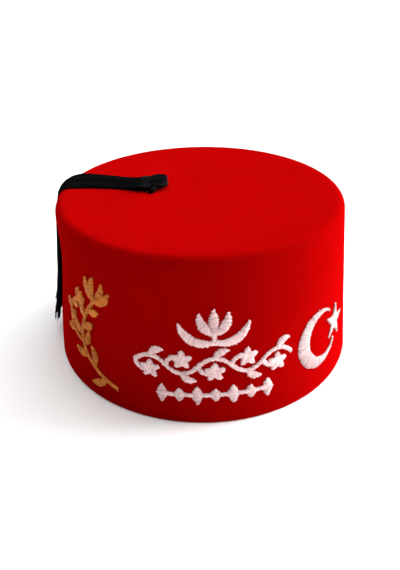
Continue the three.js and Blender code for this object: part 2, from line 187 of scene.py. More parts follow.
def hollow(turn, z):
    """How far the wall is pressed in."""
    aside = np.clip(np.abs(turn - HOLLOW_TURN) / HOLLOW_REACH, 0, 1)
    rise = np.clip((z - HOLLOW_FROM) / (HOLLOW_TO - HOLLOW_FROM), 0, 1)
    return HOLLOW_DEPTH * np.cos(np.pi / 2 * aside) ** 2 * np.sin(np.pi * rise ** HOLLOW_LEAN)


def wall_point(turn, z, lift):
    """A point at a lift off the wall's felt."""
    sides = half_sides(z)
    base = np.stack([sides[..., 0] * np.sin(turn), -sides[..., 1] * np.cos(turn), z], axis=-1)
    return base + wall_normal(turn, z) * (lift - hollow(turn, z))[..., None]


# Crown: the outside from the top's middle down the wall, round the folded rim and up the inside

CROWN_COLUMNS = 360
RIM_FOLD = 1.15  # radius of the rim's soft edges
TOP_ROWS = 26
WALL_ROWS = 60
SHOULDER_ROWS = 10
RIM_ROWS = 6
POLE = 1e-4  # share of the top's half width at its middle point

# How far the felt may sag in, mm
TOP_SAG = 0.28
SHOULDER_SAG = 0.1
WALL_SAG, WALL_LEAST_SAG = 0.25, 0.05
INNER_SAG = 0.15
SAG_LEAN = 40.0  # mm of height over which the waves turn by a radian
SAG_PHASE = 0.7
SAG_WAVES = [(2, 1.0), (3, 0.8), (5, 0.5), (9, 0.25)]  # waves round the crown, size
WAVE_SHIFT = 1.3


def oval_noise(turn):
    """A slow wave round the crown, within -1 to 1."""
    total = sum(size * np.sin(n * turn + SAG_PHASE * (n + WAVE_SHIFT)) for n, size in SAG_WAVES)
    return total / sum(size for _, size in SAG_WAVES)


def crown_profile():
    """Rows of half width, half length, height and how far the felt may sag in."""
    rows = []
    flat = TOP - SHOULDER
    for share in np.linspace(0, 1, TOP_ROWS, endpoint=False):
        rows.append((*(flat * max(share, POLE)), HEIGHT, TOP_SAG * math.sin(math.pi * share)))
    for k in range(SHOULDER_ROWS):
        angle = math.pi / 2 * (1 - k / SHOULDER_ROWS)
        reach = SHOULDER * (math.cos(angle) - 1)
        rows.append((*(TOP + reach), WALL + SHOULDER * math.sin(angle), SHOULDER_SAG))
    for z in np.linspace(WALL, RIM_FOLD, WALL_ROWS):
        sag = WALL_SAG * math.sin(math.pi * min(z / WALL, 1)) + WALL_LEAST_SAG
        rows.append((*half_sides(z), z, sag))
    for angle in np.linspace(0, math.pi / 2, RIM_ROWS)[1:]:
        reach = RIM_FOLD * (math.cos(angle) - 1)
        rows.append((*(RIM + reach), RIM_FOLD * (1 - math.sin(angle)), 0.0))
    for angle in np.linspace(math.pi / 2, 0, RIM_ROWS):
        reach = -FELT + RIM_FOLD * (1 - math.cos(angle))
        rows.append((*(RIM + reach), RIM_FOLD * (1 - math.sin(angle)), 0.0))
    for z in np.linspace(RIM_FOLD, WALL, WALL_ROWS // 2)[1:]:
        rows.append((*(half_sides(z) - FELT), z, INNER_SAG))
    inner = SHOULDER - FELT
    for k in range(1, SHOULDER_ROWS // 2 + 1):
        angle = math.pi / 2 * k / (SHOULDER_ROWS // 2)
        reach = -FELT + inner * (math.cos(angle) - 1)
        rows.append((*(TOP + reach), WALL + inner * math.sin(angle), 0.0))
    for share in np.linspace(1, 0, TOP_ROWS // 2)[1:]:
        rows.append((*(flat * max(share, POLE)), HEIGHT - FELT, 0.0))
    return np.array(rows)


def make_crown(material):
    rows = crown_profile()
    turn = -np.arange(CROWN_COLUMNS) * 2 * np.pi / CROWN_COLUMNS
    wide, long, z, soft = (rows[:, k, None] for k in range(4))
    sag = soft * (0.5 + 0.5 * oval_noise(turn[None, :] + z / SAG_LEAN))
    sag = sag + hollow((turn[None, :] + np.pi) % (2 * np.pi) - np.pi, z)
    top = np.clip((z - WALL) / SHOULDER, 0, 1)
    wide = wide - sag * (1 - top)
    long = long - sag * (1 - top)
    high = z - sag * top + 0 * turn[None, :]
    rings = np.stack([wide * np.sin(turn), -long * np.cos(turn), high], axis=-1)
    soup = Soup()
    soup.grid(rings)
    return soup.object("crown_felt", material)


# Embroidery: stitches laid side by side across each line of the pattern, over a padded ground

THREAD = 0.27  # half thickness of a stitch
PITCH = 0.5
RAGGED = 0.2  # how unevenly the stitches end
PILE = 0.8
SLANT = 0.9  # how far a stitch's far end runs ahead of its near end, mm
STEM = 1.0
LEAF = 2.4
LEAST = 0.3
STITCH_SHARES = np.array([0.0, 0.1, 0.3, 0.5, 0.7, 0.9, 1.0])
STITCH_FOOT = 0.05  # height of a stitch's ends off the felt
STITCH_ROUNDNESS = 0.45
FULL_WIDTH = 1.6  # from this width on, a stitch stands up at its full height
NARROW_PILE = 0.75  # the narrowest stitch's share of that height
LEAST_LOFT = 0.78  # the flattest stitch's share of its height
THREAD_SPREAD = (0.85, 1.1)

# A long stitch is split like bricks in a wall, and dips where its pieces meet.
LONGEST_STITCH = 4.2
SPLIT_FROM = 1.3  # times the longest stitch
SHORTEST_SHARE = 0.12
BRICK_SHIFT = 0.25
SEAM_DIP = 0.3
SEAM_ROUNDNESS = 0.35

# The padding under the stitches
GROUND_STEP = 4  # stitches from one row of it to the next
GROUND_SHARES = np.array([0.06, 0.3, 0.5, 0.7, 0.94])
GROUND_DROP = THREAD * 0.9
GROUND_FOOT = 0.02

STROKE_POINTS = 60
LEAF_BOW = 0.12
LEAF_SHRINK = 0.35  # how much shorter the last leaf of a stem is

PETALS = 5
PETAL_NOTCH = 0.22  # depth of the notches between petals, as a share of the radius
ROSETTE_GIRTH = 0.85  # mean radius of its edge, as a share of the radius
ROSETTE_GROUND = [  # reach, lift
    (0.97, 0.02),
    (0.97, 0.35),
    (0.7, 0.68),
    (0.3, 0.8),
    (0.08, 0.7),
]
ROSETTE_STARTS = (0.3, 0.12)  # shares of the radius at which its stitches start by turns


def stitch_lift(share, width):
    """Height of a stitch's middle line off the felt, at a share of the way across."""
    high = CLEAR + PILE - THREAD
    pile = high * np.clip(width / FULL_WIDTH, NARROW_PILE, 1.0)
    arch = np.sin(np.pi * np.clip(share, 0, 1)) ** STITCH_ROUNDNESS
    return STITCH_FOOT + (pile - STITCH_FOOT) * arch


def bezier(start, end, bow, count):
    start, end = np.asarray(start, float), np.asarray(end, float)
    chord = end - start
    control = (start + end) / 2 + np.array([-chord[1], chord[0]]) * 2 * bow
    t = np.linspace(0, 1, count)[:, None]
    return (1 - t) ** 2 * start + 2 * t * (1 - t) * control + t ** 2 * end


def cubic(points, count):
    a, b, c, d = (np.asarray(p, float) for p in points)
    t = np.linspace(0, 1, count)[:, None]
    return (1 - t) ** 3 * a + 3 * t * (1 - t) ** 2 * b + 3 * t * t * (1 - t) * c + t ** 3 * d


def even(line):
    """The same line with points a stitch's pitch apart, and the share of the length at each."""
    steps = np.linalg.norm(np.diff(line, axis=0), axis=1)
    length = np.concatenate([[0], np.cumsum(steps)])
    count = max(4, int(round(length[-1] / PITCH)) + 1)
    wanted = np.linspace(0, length[-1], count)
    spaced = np.stack([np.interp(wanted, length, line[:, k]) for k in (0, 1)], axis=-1)
    return spaced, wanted / length[-1]


def stroke_edges(line, widths):
    line, share = even(line)
    first, middle, last = widths
    ends = first + (last - first) * share
    blend = np.sin(np.pi * share)
    half = np.maximum(LEAST, ends + (middle - ends) * blend)
    along = unit(np.gradient(line, axis=0))
    side = np.stack([-along[:, 1], along[:, 0]], axis=-1) * half[:, None]
    return line + side, line - side


class Embroidery:
    """One ornament: its padding and its stitches, in one mesh."""

    def __init__(self):
        self.soup = Soup()

    def ground(self, left, right):
        """Padding under the stitches, a little lower than they are."""
        keep = np.unique(np.concatenate([np.arange(0, len(left), GROUND_STEP), [len(left) - 1]]))
        left, right = left[keep], right[keep]
        width = np.linalg.norm(left - right, axis=1)
        across = left[:, None] + (right - left)[:, None] * GROUND_SHARES[None, :, None]
        lift = stitch_lift(GROUND_SHARES[None, :], width[:, None]) - GROUND_DROP
        upper = on_wall(across, lift)
        under = on_wall(across[:, ::-1], np.full(across.shape[:2], GROUND_FOOT))
        self.soup.grid(np.concatenate([upper, under], axis=1))

    def stitch(self, start, end, phase=0.0):
        """One stitch from edge to edge; phase shifts the splits of a long one."""
        start = start + RNG.normal(0, RAGGED, 2)
        end = end + RNG.normal(0, RAGGED, 2)
        loft = RNG.uniform(LEAST_LOFT, 1.0)
        tone = RNG.uniform(0, 1)
        width = np.linalg.norm(end - start)
        cuts = [0.0, 1.0]
        if width > LONGEST_STITCH * SPLIT_FROM:
            pieces = math.ceil(width / LONGEST_STITCH)
            inner = (np.arange(1, pieces + 1) - 0.5 + phase) / pieces
            cuts = [0.0, *[c for c in inner if SHORTEST_SHARE < c < 1 - SHORTEST_SHARE], 1.0]
        base = stitch_lift(np.array(0.5), width)
        for a, b in zip(cuts[:-1], cuts[1:]):
            share = a + (b - a) * STITCH_SHARES
            flat = start + (end - start) * share[:, None]
            lift = stitch_lift(share, width) * loft
            if len(cuts) > 2:
                dip = SEAM_DIP * (1 - np.sin(np.pi * STITCH_SHARES) ** SEAM_ROUNDNESS)
                lift = np.maximum(lift - dip * base, STITCH_FOOT)
            points = on_wall(flat, lift)
            out = wall_normal(np.interp(flat[0, 0], LENGTHS, TURNS), flat[0, 1])
            tube(self.soup, points, THREAD * RNG.uniform(*THREAD_SPREAD), tone, out=out)

    def band(self, left, right, slant=SLANT):
        self.ground(left, right)
        ahead = max(1, int(round(slant / PITCH)))
        count = len(left)
        for k in range(count):
            near = max(0, k - ahead // 2)
            far = min(count - 1, k + (ahead + 1) // 2)
            self.stitch(left[near], right[far], phase=BRICK_SHIFT * (-1) ** k)

    def stroke(self, start, end, bow, widths):
        self.band(*stroke_edges(bezier(start, end, bow, STROKE_POINTS), widths))

    def line(self, line, widths):
        self.band(*stroke_edges(line, widths))

    def leaf(self, root, direction, length, bow, fullness=1.0):
        end = np.asarray(root) + pointing(direction, length)
        self.stroke(root, end, bow, (STEM / 2, LEAF * fullness, LEAST))

    def leaves(self, line, count, first, last, length, opening):
        for k in range(count):
            part = k / (count - 1)
            share = first + (last - first) * part
            index = share * (len(line) - 1)
            root = np.array([np.interp(index, range(len(line)), line[:, j]) for j in (0, 1)])
            step = line[min(int(index) + 1, len(line) - 1)] - line[max(int(index) - 1, 0)]
            side = 1 if k % 2 == 0 else -1
            direction = math.atan2(step[1], step[0]) + side * opening
            self.leaf(root, direction, length * (1 - LEAF_SHRINK * part), LEAF_BOW * side)

    def fan(self, root, count, towards, spread, length, bow):
        for k in range(count):
            turn = spread * (k / (count - 1) - 0.5)
            self.leaf(root, towards + turn, length, bow * np.sign(turn))

    def rosette(self, middle, radius):
        """A flower of five petals: stitches run out from its middle to its scalloped edge."""
        count = int(2 * math.pi * radius * ROSETTE_GIRTH / PITCH)
        angle = math.pi / 2 + 2 * math.pi * np.arange(count) / count
        notch = 1 - PETAL_NOTCH + PETAL_NOTCH * np.cos(PETALS * (angle - math.pi / 2))
        ray = np.stack([np.cos(angle), np.sin(angle)], axis=-1)
        rings = []
        for reach, lift in ROSETTE_GROUND:
            edge = middle + ray * (radius * notch * reach)[:, None]
            rings.append(on_wall(edge, np.full(count, lift)))
        self.soup.grid(np.stack(rings)[:, ::-1])
        for k in range(count):
            inner = ROSETTE_STARTS[k % 2]
            self.stitch(middle + ray[k] * radius * inner, middle + ray[k] * radius * notch[k])

    def object(self, name, material):
        return self.soup.object(name, material)


def pointing(direction, length):
    return np.array([math.cos(direction), math.sin(direction)]) * length


# Where the ornaments lie: across and half_across are shares of a quarter of the girth at the wall's
# middle height, up and half_up are shares of the wall's height.
PLACES = {
    "gold_spray": {"across": -0.53, "up": 0.465, "half_across": 0.165, "half_up": 0.35},
    "white_tulip": {"across": -0.035, "up": 0.645, "half_across": 0.125, "half_up": 0.11},
    "white_vine": {"across": -0.035, "up": 0.395, "half_across": 0.29, "half_up": 0.1},
    "white_lozenges": {"across": -0.035, "up": 0.2, "half_across": 0.19, "half_up": 0.058},
    "crescent": {"across": 0.41, "up": 0.36, "half_across": 0.0, "half_up": 0.0},
}
STEMS = (STEM, STEM, STEM)
STEM_POINTS = 200
BRANCH_AT = 0.45  # share of the gold spray's stem at which its branch leaves
VINE_WAVES = 5
LOZENGES = 7
LOZENGE_WIDE = LEAF * 1.15
LOZENGE_SHRINK = 0.3  # of every second one


def at(name, x, y):
    place = PLACES[name]
    return np.array([
        QUARTER_GIRTH * (place["across"] + x * place["half_across"]),
        WALL * (place["up"] + y * place["half_up"]),
    ])


def make_gold_spray(material):
    def spot(x, y):
        return at("gold_spray", x, y)

    size = WALL * PLACES["gold_spray"]["half_up"]
    work = Embroidery()
    stem = cubic([spot(0.75, -0.95), spot(-0.9, -0.6), spot(-0.45, 0.1), spot(0.1, 0.6)], STEM_POINTS)
    root = stem[int(BRANCH_AT * (STEM_POINTS - 1))]
    branch = cubic([root, spot(-0.95, -0.35), spot(-1.2, 0.3), spot(-0.55, 0.45)], STEM_POINTS)
    work.line(stem, STEMS)
    work.line(branch, STEMS)
    work.leaves(stem, count=8, first=0.08, last=0.86, length=size * 0.42, opening=0.85)
    work.leaves(branch, count=4, first=0.3, last=0.85, length=size * 0.26, opening=0.9)
    work.fan(stem[-1], count=4, towards=1.3, spread=1.5, length=size * 0.44, bow=0.15)
    work.fan(branch[-1], count=3, towards=0.9, spread=1.0, length=size * 0.24, bow=0.1)
    return work.object("gold_spray_stitches", material)


def make_white_tulip(material):
    def spot(x, y):
        return at("white_tulip", x, y)

    size = WALL * PLACES["white_tulip"]["half_up"]
    work = Embroidery()
    work.stroke(spot(0, -1), spot(0, -0.45), bow=0, widths=STEMS)
    for side in (-1, 1):
        work.stroke(spot(0, -0.9), spot(side, 0.2), bow=-0.22 * side, widths=(STEM, LEAF, LEAST))
    work.fan(spot(0, -0.45), count=3, towards=math.pi / 2, spread=1.1, length=size * 1.45, bow=0.16)
    return work.object("white_tulip_stitches", material)


def make_white_vine(material):
    size = WALL * PLACES["white_vine"]["half_up"]
    work = Embroidery()
    for k in range(VINE_WAVES):
        side = 1 if k % 2 == 0 else -1
        start = at("white_vine", 2 * k / VINE_WAVES - 1, 0)
        end = at("white_vine", 2 * (k + 1) / VINE_WAVES - 1, 0)
        middle = (start + end) / 2
        crest = middle + [0, size * 0.5 * side]
        flower = middle - [0, size * 0.4 * side]
        work.stroke(start, end, bow=(crest[1] - middle[1]) / (end[0] - start[0]), widths=STEMS)
        work.stroke(start, flower, bow=-0.3 * side, widths=STEMS)
        work.rosette(flower, radius=size * 0.62)
        work.leaf(crest, direction=0.5 * side, length=size * 0.95, bow=0.2 * side, fullness=0.8)
    return work.object("white_vine_stitches", material)


def make_white_lozenges(material):
    half = WALL * PLACES["white_lozenges"]["half_up"]
    widths = (LEAST, LOZENGE_WIDE, LEAST)
    work = Embroidery()
    work.stroke(at("white_lozenges", -1, 0), at("white_lozenges", 1, 0), bow=0, widths=STEMS)
    for k in range(LOZENGES):
        middle = at("white_lozenges", 2 * k / (LOZENGES - 1) - 1, 0)
        size = half * (1 - LOZENGE_SHRINK * (k % 2))
        work.stroke(middle - [0, size], middle + [0, size], bow=0, widths=widths)
    return work.object("white_lozenges_stitches", material)


CRESCENT = 17.0
CRESCENT_INNER = 0.782  # inner circle's radius and shift, as shares of the outer radius
CRESCENT_SHIFT = 0.282
CRESCENT_OPENING = 0.21  # turn of the opening, in radians
CRESCENT_HORN = 0.6  # half angle of the opening
CRESCENT_MIDDLE = 0.88  # radius at which its stitches are counted
CRESCENT_SLANT = 1.6


def make_crescent(material):
    middle = at("crescent", 0, 0)
    inner = CRESCENT * CRESCENT_INNER
    shift = CRESCENT * CRESCENT_SHIFT
    count = int((2 * math.pi - 2 * CRESCENT_HORN) * CRESCENT * CRESCENT_MIDDLE / PITCH)
    angle = np.linspace(CRESCENT_HORN, 2 * math.pi - CRESCENT_HORN, count)
    reach = shift * np.cos(angle) + np.sqrt(inner ** 2 - (shift * np.sin(angle)) ** 2)
    ray = np.stack([np.cos(angle + CRESCENT_OPENING), np.sin(angle + CRESCENT_OPENING)], axis=-1)
    inside = middle + ray * np.minimum(reach, CRESCENT - 2 * LEAST)[:, None]
    work = Embroidery()
    work.band(inside, middle + ray * CRESCENT, slant=CRESCENT_SLANT)
    return work.object("crescent_stitches", material)


STAR = 0.6 * CRESCENT
STAR_POINTS = 5
STAR_PLACE = np.array([1.06, 0.15]) * CRESCENT  # from the crescent's middle
STAR_WAIST = 0.36
STAR_TILT = 1.4


def make_star(material):
    middle = at("crescent", 0, 0) + STAR_PLACE
    work = Embroidery()
    for k in range(STAR_POINTS):
        angle = STAR_TILT + 2 * math.pi * k / STAR_POINTS
        share = np.linspace(0, 1, int(STAR / PITCH))[:, None]
        line = middle + pointing(angle, STAR) * share
        side = pointing(angle + math.pi / 2, 1) * np.maximum(LEAST, STAR * STAR_WAIST * (1 - share))
        work.band(line + side, line - side, slant=PITCH)
    return work.object("star_stitches", material)


# Tassel

NECK = np.array([-31.0, 11.3])
EDGE_Y = 28.0
HANG_Y = 20.0
NECK_WIDE, NECK_DEEP = 9.2, 1.2
HEAD_LONG, HEAD_WIDE, HEAD_DEEP = 13.5, 11.0, 2.5
STRAND_WIDE, STRAND_DEEP = 13.5, 1.5
TIP_Z = 8.2
BINDING_LONG, BINDING_THICK = 4.4, 0.8
NECK_HALF = BINDING_LONG / 2 + BINDING_THICK
NECK_LIFT = 2 * CLEAR + BINDING_THICK + NECK_DEEP
ROUNDNESS = 0.85
LYING_ROUNDNESS = 0.97

TOP_SECTIONS = [  # along, aside, spread, depth
    (0.2, 0.35, 0.74, 1.0),
    (0.4, 0.6, 0.77, 0.9),
    (0.7, 0.86, 0.84, 0.85),
    (0.95, 1.0, 0.9, 0.8),
]
SHOULDER_SPREAD, SHOULDER_DEPTH = 0.92, 0.8
HANG_SECTIONS = [  # along, spread, depth
    (0.2, 1.02, 1.35),
    (0.6, 1.14, 1.45),
    (0.9, 1.22, 1.6),
    (1.0, 1.27, 2.0),
]
UNDER_STRANDS = 56  # evenly laid, so that no felt shows through
STRANDS = 250
STRAND = 0.29  # half thickness of one strand
STRAND_SPREAD = (0.8, 1.1)  # thinnest and thickest strand, as shares
STRAND_TONES = (0, 0.45)
STRAND_POINTS = 52
STRAND_ENDS = (0.95, 0.8, 0.45)  # shares of the thickness at its last points
SHOULDER_SHARES = (0.25, 0.5, 0.75, 1.0)
CURVE_STEPS = 12  # between two points of a smooth line
UNDER_LEVEL = 0.3  # height of the evenly laid strands in the bundle
LEVEL_POWER = 0.6  # under 1, more strands lie near the bundle's back
DROP_SPREAD, DROP_POWER = 0.2, 1.7  # how much shorter some strands hang
DRIFT = 0.06  # sideways at the tips, as a share of the half width
SWAY = 0.5  # mm
SWAY_WAVES = (1, 2, 3.5)
SWAY_START = 4  # the sway grows over the strand's length divided by this
FULL_TURN = 6.28
HANG_START = 0.45  # share of a strand's length at which it leaves the shoulder
LOOSE_WAVE = 0.65  # mm that the loosest strand waves outwards
LOOSE_TIP = 3.0  # mm that the loosest tip stands off
LOOSE_WAVES = (5, 11)
LOOSE_POWER = 9  # how late the tips leave the bundle
LOOSE = np.random.default_rng(11)


def top_edge(y):
    flat = TOP - SHOULDER
    return -flat[0] * np.sqrt(1 - (y / flat[1]) ** 2)


def turn_across(y, z):
    return -np.pi + np.arccos(y / half_sides(z)[..., 1])


def strand_height(side, deep, level, lying=0.0):
    """How far over the felt a strand lies: level 0 is the bundle's underside, 1 its back.

    Where the bundle lies on the felt (lying 1) its underside is flat and its edges are low.
    """
    arch = np.sqrt(1 - ROUNDNESS * side ** 2)
    hanging = deep + (2 * level - 1) * (deep - STRAND) * arch
    resting = STRAND + 2 * level * (deep - STRAND) * np.sqrt(1 - LYING_ROUNDNESS * side ** 2)
    return CLEAR + hanging + (resting - hanging) * lying


def strand_path(side, level, drop_share, drift):
    """One strand's line from the neck over the shoulder and down the wall."""
    points = []
    room = 1 - STRAND / STRAND_WIDE
    arch = math.sqrt(1 - ROUNDNESS * side ** 2)
    for end in (1.0, 0.0, -1.0):
        across = side * (NECK_WIDE - STRAND)
        high = HEIGHT + NECK_LIFT + (2 * level - 1) * (NECK_DEEP - STRAND) * arch
        points.append([NECK[0] + end * NECK_HALF, NECK[1] + across, high])
    start = NECK[0] - NECK_HALF
    for along, aside, spread, depth in TOP_SECTIONS:
        y = NECK[1] + (EDGE_Y - NECK[1]) * aside + side * STRAND_WIDE * spread * room
        x = start + (top_edge(y) - start) * along
        points.append([x, y, HEIGHT + strand_height(side, STRAND_DEEP * depth, level, 1.0)])
    y = EDGE_Y + side * STRAND_WIDE * SHOULDER_SPREAD * room
    turn = turn_across(y, WALL)
    flat = wall_normal(turn, WALL) * [1, 1, 0]
    flat /= np.linalg.norm(flat)
    for share in SHOULDER_SHARES:
        angle = math.pi / 2 * (1 - share)
        reach = SHOULDER * (math.cos(angle) - 1)
        base = np.array([
            (TOP[0] + reach) * math.sin(turn),
            -(TOP[1] + reach) * math.cos(turn),
            WALL + SHOULDER * math.sin(angle),
        ])
        out = flat * math.cos(angle) + np.array([0, 0, math.sin(angle)])
        points.append(base + out * strand_height(side, STRAND_DEEP * SHOULDER_DEPTH, level, 1.0))
    drop = (WALL - TIP_Z) * drop_share
    for along, spread, depth in HANG_SECTIONS:
        z = WALL - drop * along
        y = EDGE_Y + (HANG_Y - EDGE_Y) * along + side * STRAND_WIDE * spread * room
        y += drift * STRAND_WIDE * DRIFT * along
        turn = turn_across(y, z)
        points.append(wall_point(turn, z, strand_height(side, STRAND_DEEP * depth, level)))
    return smooth_line(np.array(points), STRAND_POINTS)


def smooth_line(points, count):
    """Catmull-Rom through points, evenly spaced in length."""
    padded = np.concatenate([[2 * points[0] - points[1]], points, [2 * points[-1] - points[-2]]])
    pieces = []
    t = np.linspace(0, 1, CURVE_STEPS, endpoint=False)[:, None]
    for a, b, c, d in zip(padded[:-3], padded[1:-2], padded[2:-1], padded[3:]):
        pieces.append(0.5 * (2 * b + (c - a) * t + (2 * a - 5 * b + 4 * c - d) * t ** 2
                             + (3 * b - a - 3 * c + d) * t ** 3))
    line = np.concatenate([*pieces, points[-1:]])
    length = np.concatenate([[0], np.cumsum(np.linalg.norm(np.diff(line, axis=0), axis=1))])
    wanted = np.linspace(0, length[-1], count)
    return np.stack([np.interp(wanted, length, line[:, k]) for k in range(3)], axis=-1)


def wander(count, size):
    """A slow sideways wander along a strand, nought at its start."""
    t = np.linspace(0, 1, count)
    total = np.zeros(count)
    for n in SWAY_WAVES:
        total += RNG.normal() / n * np.sin(n * math.pi * t + RNG.uniform(0, FULL_TURN))
    return size * (total - total[0]) * np.clip(t * SWAY_START, 0, 1)


def standing_off(count, level, drop):
    """How far a hanging strand stands off the others, towards the left: most near the lowest tips."""
    share = np.linspace(0, 1, count)
    low = np.clip((share - HANG_START) / (1 - HANG_START), 0, 1) * drop
    waves = 1 + np.sin(LOOSE.uniform(*LOOSE_WAVES) * math.pi * low + LOOSE.uniform(0, FULL_TURN))
    wave = LOOSE_WAVE * LOOSE.uniform(0, 1) ** 2 * level
    tip = LOOSE_TIP * LOOSE.uniform(0, 1) ** 2
    return wave * waves * low + tip * low ** LOOSE_POWER


HEAD_LOOPS = 70
HEAD_START = NECK_HALF * 0.6  # from the neck's middle, where the loops leave the winding
HEAD_OUT = [  # share, spread
    (0, 0.62),
    (0.25, 0.85),
    (0.55, 1.0),
    (0.85, 0.9),
    (1.0, 0.7),
]
HEAD_BACK = [  # share, spread
    (0.97, 0.45),
    (0.7, 0.5),
    (0.35, 0.5),
    (0.0, 0.4),
]
HEAD_SWELL = 0.25  # how much higher a loop lies where it is widest
HEAD_RETURN = 0.8  # height of a loop's way back, as a share of its height
HEAD_ROUNDNESS = 0.5
HEAD_POINTS = 34
HEAD_SPREAD = (0.85, 1.1)
# The head's loops run lighter than the hanging strands: painted sheen on the folded loops.
HEAD_TONES_PAINTED_SHEEN = (0.2, 1)
HEAD_TURN = 0.35  # how far aside a loop comes back, as a share of the half width
HEAD_LEVELS = (0.05, 1)
HEAD_POWER = 0.7
HEAD_REACHES = (0.72, 1.0)
HEAD_LEAN = 0.6


def head_loop(side_out, side_back, level, reach, lean):
    """A strand that turns back on itself in the tassel's head."""
    room = level * (2 * HEAD_DEEP - 2 * STRAND)
    foot = HEIGHT + CLEAR + STRAND
    start = NECK + [HEAD_START, 0]
    points = []
    for share, spread in HEAD_OUT:
        x = start[0] + (HEAD_LONG - HEAD_START) * reach * share
        y = NECK[1] + lean * share + side_out * HEAD_WIDE * spread
        points.append([x, y, foot + room * (1 - HEAD_SWELL + HEAD_SWELL * spread)])
    for share, spread in HEAD_BACK:
        x = start[0] + (HEAD_LONG - HEAD_START) * reach * share
        y = NECK[1] + lean * share + side_back * HEAD_WIDE * spread
        points.append([x, y, foot + room * HEAD_RETURN])
    return smooth_line(np.array(points), HEAD_POINTS)


def make_tassel(material):
    soup = Soup()
    for k in range(STRANDS):
        under = k < UNDER_STRANDS
        side = 2 * (k + 0.5) / UNDER_STRANDS - 1 if under else RNG.uniform(-1, 1)
        level = UNDER_LEVEL if under else RNG.uniform(0, 1) ** LEVEL_POWER
        drop = 1 - DROP_SPREAD * RNG.uniform(0, 1) ** DROP_POWER
        line = strand_path(side, level, drop, RNG.normal(0, 1))
        line[:, 1] += wander(len(line), SWAY)
        line[:, 0] -= standing_off(len(line), level, drop)
        taper = np.ones(len(line))
        taper[-len(STRAND_ENDS):] = STRAND_ENDS
        thick = STRAND * RNG.uniform(*STRAND_SPREAD)
        tube(soup, line, thick, RNG.uniform(*STRAND_TONES), taper=taper)
    for _ in range(HEAD_LOOPS):
        out = RNG.uniform(-1, 1)
        back = np.clip(out + RNG.normal(0, HEAD_TURN), -1, 1)
        level = RNG.uniform(*HEAD_LEVELS) ** HEAD_POWER * math.sqrt(1 - HEAD_ROUNDNESS * out * out)
        reach = RNG.uniform(*HEAD_REACHES)
        line = head_loop(out, back, level, reach, RNG.normal(0, HEAD_LEAN))
        thick = STRAND * RNG.uniform(*HEAD_SPREAD)
        tube(soup, line, thick, RNG.uniform(*HEAD_TONES_PAINTED_SHEEN))
    for k in range(SIDE_LOOP_STRANDS):
        side_loop(soup, k / SIDE_LOOP_STRANDS)
    return soup.object("tassel_strands", material)


SIDE_LOOP_REACH = 14.0
SIDE_LOOP_STRANDS = 14
SIDE_LOOP_POINTS = 26
SIDE_LOOP_THERE = (0.9, 0.35)  # how far the loop's ring of strands spreads, back and aside
SIDE_LOOP_BACK = (0.3, 0.1)
SIDE_LOOP_TONE = 0.3
SIDE_LOOP_SECTIONS = [  # aside, back, size
    (0.35, 0.03, 0.65),
    (0.65, 0.1, 0.65),
    (0.9, 0.24, 0.62),
    (1.0, 0.38, 0.35),
]


def side_loop(soup, part):
    """One strand of the small loop that stands out of the head and bends back past the winding."""
    angle = 2 * math.pi * part
    start = NECK + [HEAD_LONG / 2, 0]
    there, back = [], []
    for aside, behind, size in SIDE_LOOP_SECTIONS:
        deep = HEAD_DEEP * size
        flat = start - np.array([behind, aside]) * SIDE_LOOP_REACH
        out = (deep - STRAND) * math.cos(angle)
        high = HEIGHT + CLEAR + deep + (deep - STRAND) * math.sin(angle)
        there.append([*(flat + out * np.array(SIDE_LOOP_THERE)), high])
        back.append([*(flat + out * np.array(SIDE_LOOP_BACK)), HEIGHT + CLEAR + deep])
    line = smooth_line(np.array(there + back[::-1]), SIDE_LOOP_POINTS)
    tube(soup, line, STRAND, SIDE_LOOP_TONE)


BINDING_TURNS = 6
BINDING_OVERLAP = 1.04  # thickness of the thread over its pitch
BINDING_STEPS = 40  # for each turn
BINDING_SIDES = 8
BINDING_TONE = 0.4


def make_binding(material):
    """Thread wound round the neck in even turns."""
    soup = Soup()
    thread = BINDING_LONG / BINDING_TURNS / 2 * BINDING_OVERLAP
    middle = np.array([NECK[0], NECK[1], HEIGHT + NECK_LIFT])
    steps = BINDING_TURNS * BINDING_STEPS
    angle = np.linspace(0, 2 * math.pi * BINDING_TURNS, steps)
    along = (np.linspace(0, 1, steps) - 0.5) * (BINDING_LONG - 2 * thread)
    off = CLEAR + thread
    line = middle + np.stack([
        along,
        (NECK_WIDE + off) * np.cos(angle),
        -(NECK_DEEP + off) * np.sin(angle),
    ], axis=-1)
    tube(soup, line, thread, BINDING_TONE, sides=BINDING_SIDES, out=(1.0, 0.0, 0.0))
    return soup.object("tassel_winding", material)


# Materials

def new_material(name):
    made = bpy.data.materials.new(name)
    made.use_nodes = True
    nodes = made.node_tree.nodes
    return made, nodes, made.node_tree.links, nodes["Principled BSDF"]


def noise_node(nodes, links, scale, detail=2.0, stretch=None):
    """Noise in object space; scale in waves a metre."""
    place = nodes.new("ShaderNodeTexCoord")
    out = place.outputs["Object"]
    if stretch:
        mapping = nodes.new("ShaderNodeMapping")
        mapping.inputs["Scale"].default_value = stretch
        links.new(out, mapping.inputs["Vector"])
        out = mapping.outputs["Vector"]
    made = nodes.new("ShaderNodeTexNoise")
    made.inputs["Scale"].default_value = scale
    made.inputs["Detail"].default_value = detail
    links.new(out, made.inputs["Vector"])
    return made.outputs["Fac"]


def blend_node(nodes, links, factor, stops):
    ramp = nodes.new("ShaderNodeValToRGB")
    elements = ramp.color_ramp.elements
    while len(elements) < len(stops):
        elements.new(0.5)
    for element, (place, colour) in zip(elements, stops):
        element.position = place
        element.color = (*colour, 1)
    links.new(factor, ramp.inputs["Fac"])
    return ramp.outputs["Color"]


def multiply(nodes, links, a, b):
    mix = nodes.new("ShaderNodeMix")
    mix.data_type = "RGBA"
    mix.blend_type = "MULTIPLY"
    mix.inputs["Factor"].default_value = 1.0
    links.new(a, mix.inputs["A"])
    links.new(b, mix.inputs["B"])
    return mix.outputs["Result"]


